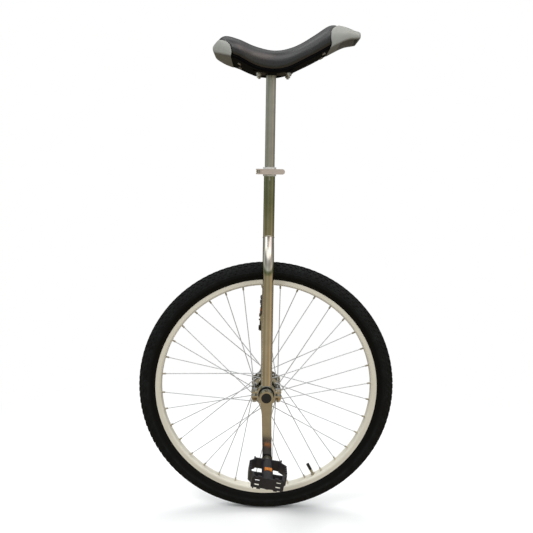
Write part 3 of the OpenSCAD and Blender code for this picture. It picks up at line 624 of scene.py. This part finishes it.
def make_welds():
    """Beads at the frame's joints, which the CAD model leaves bare."""
    for side, word in ((RIGHT, "right"), (LEFT, "left")):
        bead(f"{word}_crown_weld", crown_weld(side), 1.1 * MM, "frame_chrome", "frame")
        bead(f"{word}_foot_weld", foot_weld(side), 1.2 * MM, "frame_chrome", "frame", closed=True)
    bead("crotch_weld", crotch_weld(), 1.3 * MM, "frame_chrome", "frame")


# ---------- saddle ----------

# Each station across the saddle: x, bottom, crown and half width in millimetres, heights
# above the lowest point of the base
STATIONS = [
    (-152, 58, 50, 14), (-127, 42, 58, 40), (-104, 32, 78, 71), (-72, 22, 72.5, 79),
    (-37, 6, 59.5, 66), (0, 0, 52, 54), (31, 4, 55, 51), (62, 18, 66.5, 51), (94, 34, 86, 53),
    (126, 52, 106, 55), (150, 64.5, 103, 53), (165, 70.5, 99, 50), (178, 72.5, 93.5, 46),
    (190, 74, 91, 42), (210, 76, 88, 36)
]


def between(before, start, end, after, share):
    """A smooth curve through neighbouring stations, at a share of the way from start to end."""
    return tuple(
        0.5 * (2 * b + (c - a) * share + (2 * a - 5 * b + 4 * c - d) * share ** 2
               + (3 * b - a - 3 * c + d) * share ** 3)
        for a, b, c, d in zip(before, start, end, after))


def dense_stations():
    """The stations that have a neighbour on both sides, with smooth ones added between them."""
    steps = 6
    found = []
    for i in range(1, len(STATIONS) - 2):
        for k in range(steps):
            found.append(between(*STATIONS[i - 1:i + 3], k / steps))
    found.append(STATIONS[-2])
    return found


DENSE = dense_stations()


def station_at(x):
    """The saddle's bottom, crown and half width at x, all in millimetres."""
    for first, second in zip(DENSE, DENSE[1:]):
        if x <= second[0]:
            share = (x - first[0]) / (second[0] - first[0])
            return tuple(a + (b - a) * share for a, b in zip(first, second))
    return DENSE[-1]


def saddle_ring(station, grow, low, floor_lift):
    """Outline across the saddle: a flat bottom with corners rounded up to low, and a crowned top.

    The sides and top are moved out by grow and the bottom up by floor_lift, in millimetres.
    """
    x, bottom, crown, half = station
    half, crown, bottom = half + grow, crown + grow, bottom + floor_lift
    flat = half * 0.90
    floor_steps, top_steps = 12, 36
    points = [(-flat + 2 * flat * k / floor_steps, bottom) for k in range(floor_steps + 1)]
    points += [(half * 0.955, bottom + low * 0.12), (half * 0.99, bottom + low * 0.5)]
    for k in range(top_steps + 1):
        angle = math.pi * k / top_steps
        reach = math.copysign(abs(math.cos(angle)) ** 0.75, math.cos(angle))
        rise = max(0.0, math.sin(angle)) ** 0.85
        points.append((half * reach, bottom + low + (crown - bottom - low) * rise))
    points += [(-half * 0.99, bottom + low * 0.5), (-half * 0.955, bottom + low * 0.12)]
    return [Vector((x * MM, y * MM, SADDLE_Z + z * MM)) for y, z in points]


def saddle_solid(name, grow, low, floor_lift, inset=0.0, nose=6.0):
    """The saddle's form as a closed solid, with each end rounded over a length of nose."""
    rear, front = DENSE[0][0] + inset, DENSE[-1][0] - inset
    end_rings = 6
    stops = []
    for k in range(1, end_rings + 1):
        angle = math.radians(90 - 14 * k)
        stops.append((rear + nose * (1 - math.sin(angle)), nose * (1 - math.cos(angle))))
    stops += [(st[0], 0.0) for st in DENSE if rear + nose < st[0] < front - nose]
    stops += [(front + rear - x, shrink) for x, shrink in reversed(stops[:end_rings])]
    rings = []
    for x, shrink in stops:
        x, bottom, crown, half = station_at(x)
        shrink = min(shrink, (crown - bottom - floor_lift) * 0.42)
        rings.append(saddle_ring((x, bottom + shrink, crown - shrink, half - shrink),
                                 grow, low, floor_lift))
    return loose(name, lofted(name, rings))


def slab(name, outline):
    """A block right across the saddle, from its side outline in millimetres above the base."""
    count = len(outline)
    points = [Vector((x * MM, y * MM, SADDLE_Z + z * MM))
              for y in (-BLOCK_HALF_WIDTH, BLOCK_HALF_WIDTH) for x, z in outline]
    faces = [tuple(range(count)), tuple(range(2 * count - 1, count - 1, -1))]
    faces += [(k, k + count, (k + 1) % count + count, (k + 1) % count) for k in range(count)]
    return loose(name, outward(mesh_of(name, points, faces, smooth=False)))


def rounded(outline, reach, steps=5):
    """Rounds each corner of an outline given as (x, z) by up to reach."""
    count = len(outline)
    points = []
    for i in range(count):
        here = Vector(outline[i])
        before, after = Vector(outline[i - 1]), Vector(outline[(i + 1) % count])
        start = here + (before - here) * min(0.45, reach / (before - here).length)
        end = here + (after - here) * min(0.45, reach / (after - here).length)
        for k in range(steps + 1):
            t = k / steps
            points.append(tuple(start * (1 - t) ** 2 + here * 2 * t * (1 - t) + end * t ** 2))
    return points


# Side outlines of the zones that the rear bumper and the front handle cover, and half of the
# width that every cutting block has, which is more than the saddle's
BLOCK_HALF_WIDTH = 130
BUMPER_ZONE = [(-175, 5), (-80, 5), (-80, 18), (-87, 26), (-84, 34), (-87, 49), (-94, 58),
               (-114, 66), (-175, 62)]
HANDLE_ZONE = [(123, 30), (123, 50), (128, 58), (125, 72), (126, 88), (132, 96), (145, 104),
               (158, 140), (240, 140), (240, 10)]


def zone(name, outline, grow=0.0):
    """A cutting block with rounded edges, its outline moved away from its middle by grow."""
    middle_point = Vector((sum(p[0] for p in outline), sum(p[1] for p in outline)))
    middle_point /= len(outline)
    moved = []
    for p in outline:
        away = Vector(p) - middle_point
        moved.append(tuple(Vector(p) + away.normalized() * grow))
    return slab(name, rounded(moved, 4))


def puffed(pad, pinned, cap):
    """Inflates a pad a little by cloth simulation, and holds its pinned points."""
    start = [v.co.copy() for v in pad.data.vertices]
    group = pad.vertex_groups.new(name="held")
    for v in pad.data.vertices:
        group.add([v.index], 1.0 if pinned(v.co) else 0.0, "REPLACE")
    cloth = pad.modifiers.new("cloth", "CLOTH")
    cloth.settings.quality = 6
    cloth.settings.mass = 0.3
    cloth.settings.tension_stiffness = 20
    cloth.settings.compression_stiffness = 20
    cloth.settings.bending_stiffness = 2
    cloth.settings.use_pressure = True
    cloth.settings.uniform_pressure_force = 4
    cloth.settings.effector_weights.gravity = 0
    cloth.settings.vertex_group_mass = group.name
    cloth.collision_settings.use_collision = False
    scene = bpy.context.scene
    last_step = 20
    for step in range(1, last_step + 1):
        scene.frame_set(step)
    applied(pad)
    scene.frame_set(1)
    for v, first in zip(pad.data.vertices, start):
        moved = v.co - first
        if moved.length > cap:
            v.co = first + moved.normalized() * cap
    pad.vertex_groups.clear()
    return pad


def make_cushion():
    """The foam pad under its vinyl cover, as one closed crowned form."""
    lift = 4.6
    pad = saddle_solid("pad", -0.6, 6, lift)
    cut(pad, "DIFFERENCE", zone("zone", BUMPER_ZONE, -1.0), zone("zone", HANDLE_ZONE, -1.0))
    softened(pad, 3.2 * MM, 4)
    low_edge = 6 * MM

    def held(p):
        near_rear = p.x < -74 * MM and p.z < SADDLE_Z + 70 * MM
        near_front = p.x > 124 * MM
        floor = underside(p.x) + lift * MM
        return near_rear or near_front or p.z < floor + low_edge

    puffed(pad, held, 3 * MM)
    rise = pad.modifiers.new("smoother", "SUBSURF")
    rise.levels = rise.render_levels = 1
    applied(pad)
    cushion = into_piece(pad, "saddle_cushion", "saddle_vinyl", "saddle")
    cushion.data.polygons.foreach_set("use_smooth", [True] * len(cushion.data.polygons))
    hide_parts("saddle_cover", "saddle_foam")


def underside(x):
    """Height of the saddle's underside at x, in the frame."""
    return SADDLE_Z + station_at(x / MM)[1] * MM


def make_bumper():
    """A thin shell over the saddle's rear end."""
    shell = saddle_solid("shell", 1.4, 4, -1)
    inside = saddle_solid("inside", -1.8, 4, 2, 3.4)
    cut(shell, "DIFFERENCE", inside)
    cut(shell, "INTERSECT", zone("zone", BUMPER_ZONE))
    softened(shell, 0.9 * MM, 5)
    bumper = into_piece(shell, "rear_bumper_shell", "bumper_plastic", "saddle")
    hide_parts("rear_bumper")


def make_handle():
    """A shell over the saddle's front end, open below and solid at its root."""
    shell = saddle_solid("shell", 1.4, 4, -1, nose=3.5)
    inside = saddle_solid("inside", -2.0, 4, -20, 4.2)
    root = [(90, -30), (146, -30), (146, 69), (90, 69)]
    cut(inside, "DIFFERENCE", slab("root", root))
    cut(shell, "DIFFERENCE", inside)
    cut(shell, "INTERSECT", zone("zone", HANDLE_ZONE))
    softened(shell, 0.9 * MM, 5)
    handle = into_piece(shell, "front_handle_shell", "bumper_plastic", "saddle")
    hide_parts("front_handle")


# ---------- surroundings ----------

def make_camera():
    """On the unicycle's right side, level with the seat clamp and looking a little down."""
    back, height, side = 1.517, 0.810, -0.020
    yaw, pitch, roll = math.radians(0.62), math.radians(8.31), math.radians(0.91)
    data = bpy.data.cameras.new("camera")
    data.sensor_width = 36
    data.lens = 44.9
    camera = bpy.data.objects.new("camera", data)
    bpy.context.scene.collection.objects.link(camera)
    forward = Vector((math.sin(yaw) * math.cos(pitch), math.cos(yaw) * math.cos(pitch),
                      -math.sin(pitch)))
    level = Vector((math.cos(yaw), -math.sin(yaw), 0))
    up = level.cross(forward)
    right = level * math.cos(roll) + up * math.sin(roll)
    up = right.cross(forward)
    turn = Matrix((right, up, -forward)).transposed()
    camera.matrix_world = Matrix.Translation((side, -back, height)) @ turn.to_4x4()
    bpy.context.scene.camera = camera


def make_floor():
    """A pale floor that fades to the backdrop's white away from the object."""
    half = 30.0
    mesh = mesh_of("floor", [(-half, -half, 0), (half, -half, 0), (half, half, 0),
                             (-half, half, 0)], [(0, 1, 2, 3)])
    floor = bpy.data.objects.new("floor", mesh)
    bpy.context.scene.collection.objects.link(floor)
    floor.visible_glossy = False
    floor.visible_diffuse = False
    finish = Finish("floor", (0.93, 0.93, 0.92), Roughness=0.8)
    far = finish.add("ShaderNodeVectorMath", operation="LENGTH")
    finish.join(finish.place, far.inputs[0])
    fade = finish.add("ShaderNodeMapRange")
    fade.inputs["From Min"].default_value = 0.25
    fade.inputs["From Max"].default_value = 1.1
    fade.interpolation_type = "SMOOTHSTEP"
    finish.join(far.outputs["Value"], fade.inputs["Value"])
    glow = finish.add("ShaderNodeEmission")
    blend = finish.add("ShaderNodeMixShader")
    finish.join(fade.outputs["Result"], blend.inputs["Fac"])
    finish.join(finish.shader.outputs["BSDF"], blend.inputs[1])
    finish.join(glow.outputs["Emission"], blend.inputs[2])
    output = finish.tree.nodes["Material Output"]
    finish.join(blend.outputs["Shader"], output.inputs["Surface"])
    mesh.materials.append(finish.material)


def make_world():
    """White to the camera, soft light on matt surfaces, and for gloss a studio to reflect."""
    world = bpy.data.worlds.new("studio")
    world.use_nodes = True
    bpy.context.scene.world = world
    tree = world.node_tree
    tree.nodes.clear()

    def add(kind, **values):
        return add_node(tree, kind, **values)

    def maths(operation, first, second=None):
        node = add("ShaderNodeMath", operation=operation)
        for socket, value in zip(node.inputs, (first, second)):
            if isinstance(value, (int, float)):
                socket.default_value = value
            elif value is not None:
                tree.links.new(value, socket)
        return node.outputs[0]

    direction = add("ShaderNodeSeparateXYZ")
    tree.links.new(add("ShaderNodeTexCoord").outputs["Generated"], direction.inputs[0])
    x, y, z = direction.outputs
    height = maths("ADD", maths("DIVIDE", maths("ARCSINE", z), math.pi), 0.5)
    around = maths("ARCTAN2", x, maths("MULTIPLY", y, -1.0))
    around = maths("ADD", maths("DIVIDE", around, 2 * math.pi), 0.5)

    def up(degrees):
        """Place in the ramp of a height above the horizon."""
        return 0.5 + degrees / 180

    def turn(degrees):
        """Place in the ramp of a direction round the object."""
        return 0.5 + degrees / 360

    tan = (0.46, 0.38, 0.25)
    olive = (0.13, 0.15, 0.07)
    heights = add_ramp(tree, height, [
        (0.0, (0.30, 0.24, 0.16)), (up(-30), (0.36, 0.29, 0.19)), (up(-14), tan),
        (up(-7), (0.34, 0.30, 0.19)), (up(-3), olive), (up(2), (0.18, 0.20, 0.13)),
        (up(8), (0.58, 0.60, 0.56)), (up(24), (0.40, 0.40, 0.39)), (up(36), 0.55),
        (up(48), 1.6), (up(68), 1.8), (up(80), 1.0), (1.0, 0.8)
    ])
    warm, dim = (1.45, 1.3, 1.16), (0.9, 0.8, 0.82)
    rounds = add_ramp(tree, around, [
        (turn(-180), 0.5), (turn(-128), 0.5), (turn(-112), 1.4), (turn(-98), 1.2),
        (turn(-80), 0.7), (turn(-40), 0.8), (turn(-26), 1.1), (turn(-14), 1.1),
        (turn(-6), 0.95), (turn(44), (0.95, 0.9, 0.9)), (turn(54), warm), (turn(74), warm),
        (turn(82), dim), (turn(100), dim), (turn(130), 0.4), (turn(180), 0.5)
    ])
    product = add("ShaderNodeMix", data_type="RGBA", blend_type="MULTIPLY")
    product.inputs["Factor"].default_value = 1.0
    tree.links.new(heights, product.inputs[6])
    tree.links.new(rounds, product.inputs[7])

    rays = add("ShaderNodeLightPath")
    shown, lit, mirrored = (add("ShaderNodeBackground") for _ in range(3))
    shown.inputs["Color"].default_value = (1, 1, 1, 1)
    soft = add_ramp(tree, height, [(0.0, 0.12), (up(-20), 0.2), (up(25), (0.78, 0.8, 0.82)),
                                   (1.0, (0.8, 0.82, 0.84))])
    tree.links.new(soft, lit.inputs["Color"])
    tree.links.new(product.outputs[2], mirrored.inputs["Color"])
    gloss = add("ShaderNodeMixShader")
    tree.links.new(rays.outputs["Is Glossy Ray"], gloss.inputs["Fac"])
    tree.links.new(lit.outputs[0], gloss.inputs[1])
    tree.links.new(mirrored.outputs[0], gloss.inputs[2])
    seen = add("ShaderNodeMixShader")
    tree.links.new(rays.outputs["Is Camera Ray"], seen.inputs["Fac"])
    tree.links.new(gloss.outputs[0], seen.inputs[1])
    tree.links.new(shown.outputs[0], seen.inputs[2])
    tree.links.new(seen.outputs[0], add("ShaderNodeOutputWorld").inputs["Surface"])


def make_light(name, place, target, width, height, power):
    """A soft light that gloss doesn't mirror, because the studio already holds what it mirrors."""
    data = bpy.data.lights.new(name, "AREA")
    data.shape = "RECTANGLE"
    data.size, data.size_y = width, height
    data.energy = power
    light = bpy.data.objects.new(name, data)
    bpy.context.scene.collection.objects.link(light)
    light.visible_glossy = False
    light.location = place
    light.rotation_euler = (Vector(target) - Vector(place)).to_track_quat("-Z", "Y").to_euler()


def make_lights():
    """Three soft lights: two on the camera's side and one above the far side."""
    aim = (0, 0, 0.6)
    make_light("key", (-1.4, -1.6, 2.6), aim, 1.2, 1.2, 38)
    make_light("fill", (2.0, -1.5, 1.6), aim, 1.0, 1.6, 16)
    make_light("top", (0.1, 0.9, 2.7), aim, 1.6, 1.6, 28)


# ---------- assembly ----------

# Nodes whose finish differs a little from the rest of their slot: the collar's is lighter, a painted
# highlight for the light that it catches, and the lever's is darker and pinker
RETINTED_FINISHES = {
    "clamp_lever": drawn("lever_alloy", (0.70, 0.60, 0.54), (0.3, 0.45), (0.06, 1, 1),
                         (0.88, 1.04), Metallic=0.5),
    # Painted highlight: the collar's alloy is lighter than the slot's, for the light that it
    # catches.
    "clamp_collar": drawn("collar_alloy_painted_highlight", (0.95, 0.94, 0.92), (0.25, 0.4), (0.06, 1, 1),
                          (0.9, 1.04), Metallic=0.5)
}


def dress_cad_nodes():
    """Gives each CAD node the finish of its slot, or the retinted one listed for it."""
    for row in frame["record"]["subparts"]:
        mesh = nodes[row["node"]].data
        mesh.materials.clear()
        finish = RETINTED_FINISHES.get(row["node"]) or finishes[row["material_slot"]]
        mesh.materials.append(finish)


make_camera()
make_world()
make_lights()
make_floor()
dress_cad_nodes()
make_tyre()
make_welds()
make_cushion()
make_bumper()
make_handle()
bpy.context.scene.view_settings.view_transform = "Standard"
